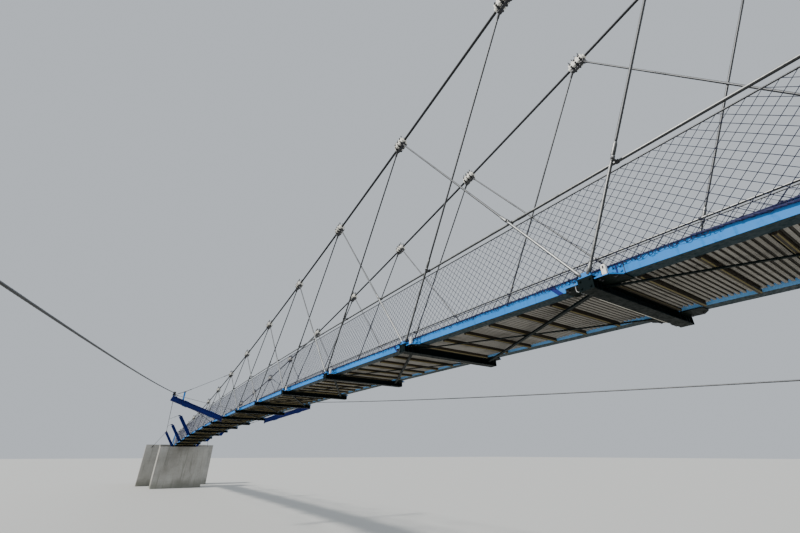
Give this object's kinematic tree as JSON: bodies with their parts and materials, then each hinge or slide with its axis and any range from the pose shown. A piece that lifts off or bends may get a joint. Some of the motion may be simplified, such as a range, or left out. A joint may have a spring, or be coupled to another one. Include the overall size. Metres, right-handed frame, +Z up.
{
  "type": "suspension footbridge 1:2 scale model",
  "caption": "Footbridge hung from two main cables by crossing inclined hangers, with a cambered deck, net parapets and wind cables spread by arms at mid-span.",
  "frame": {"origin": "on the ground under the tall pylon, on the bridge's centreline", "axes": "+X along the bridge to the far bank, +Y to the left across the deck, +Z up"},
  "size_m": [37, 8.5, 5.8814],
  "materials": {
    "concrete": "rough grey concrete",
    "blue_paint": "satin light blue paint",
    "wire_rope": "galvanised stranded rope",
    "galvanised": "dull galvanised steel",
    "deck_plank": "weathered grey planks",
    "net_wire": "galvanised mesh wire"
  },
  "bodies": {
    "root": {"near_abutment": "concrete", "far_abutment": "concrete", "backstay_block": "concrete", "far_anchor_block": "concrete", "wind_block_left": "concrete", "wind_block_right": "concrete", "pylon_leg_left": "blue_paint", "pylon_leg_right": "blue_paint", "pylon_crosshead": "blue_paint", "far_saddle_left": "blue_paint", "far_saddle_right": "blue_paint", "yoke_arm_left": "blue_paint", "yoke_arm_right": "blue_paint", "girder_left_1": "blue_paint", "girder_left_2": "blue_paint", "girder_left_3": "blue_paint", "girder_left_4": "blue_paint", "girder_right_1": "blue_paint", "girder_right_2": "blue_paint", "girder_right_3": "blue_paint", "girder_right_4": "blue_paint", "crossbeam_00": "blue_paint", "crossbeam_01": "blue_paint", "crossbeam_02": "blue_paint", "crossbeam_03": "blue_paint", "crossbeam_04": "blue_paint", "crossbeam_05": "blue_paint", "crossbeam_06": "blue_paint", "crossbeam_07": "blue_paint", "crossbeam_08": "blue_paint", "crossbeam_09": "blue_paint", "crossbeam_10": "blue_paint", "crossbeam_11": "blue_paint", "outrigger_frame_12": "blue_paint", "crossbeam_13": "blue_paint", "outrigger_frame_14": "blue_paint", "crossbeam_15": "blue_paint", "outrigger_frame_16": "blue_paint", "main_cable_left": "wire_rope", "main_cable_right": "wire_rope", "wind_cable_left": "wire_rope", "wind_cable_right": "wire_rope", "yoke_stays_left": "wire_rope", "yoke_stays_right": "wire_rope", "pylon_saddle_left": "galvanised", "pylon_saddle_right": "galvanised", "hangers_left_odd": "galvanised", "hangers_left_even": "galvanised", "hangers_right_odd": "galvanised", "hangers_right_even": "galvanised", "handrail_left": "galvanised", "handrail_right": "galvanised", "deck_section_1": "deck_plank", "deck_section_2": "deck_plank", "deck_section_3": "deck_plank", "deck_section_4": "deck_plank", "net_left": "net_wire", "net_right": "net_wire"}
  },
  "joints": []
}
